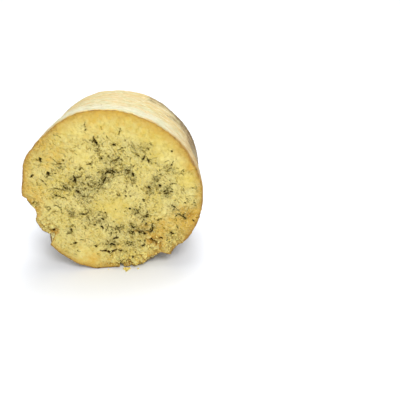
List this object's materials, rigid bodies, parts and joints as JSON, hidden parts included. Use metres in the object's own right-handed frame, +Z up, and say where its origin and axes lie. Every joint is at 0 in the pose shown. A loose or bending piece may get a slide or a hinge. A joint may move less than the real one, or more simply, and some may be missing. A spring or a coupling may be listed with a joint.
{
  "type": "blue stilton cheese",
  "caption": "Half drum of blue-veined cheese, cut across and lying on its rind, with a crumbly broken edge.",
  "frame": {"origin": "on the surface it rests on, under the middle of its box", "axes": "+X across the cut face, +Y from the cut face to the drum's own end, +Z up"},
  "size_m": [0.2003, 0.1204, 0.1937],
  "materials": {
    "cheese": "soft matte cut paste with blue-green veins, and a dry pale rind"
  },
  "bodies": {
    "root": {"blue_cheese_half_drum": "cheese"}
  },
  "joints": []
}
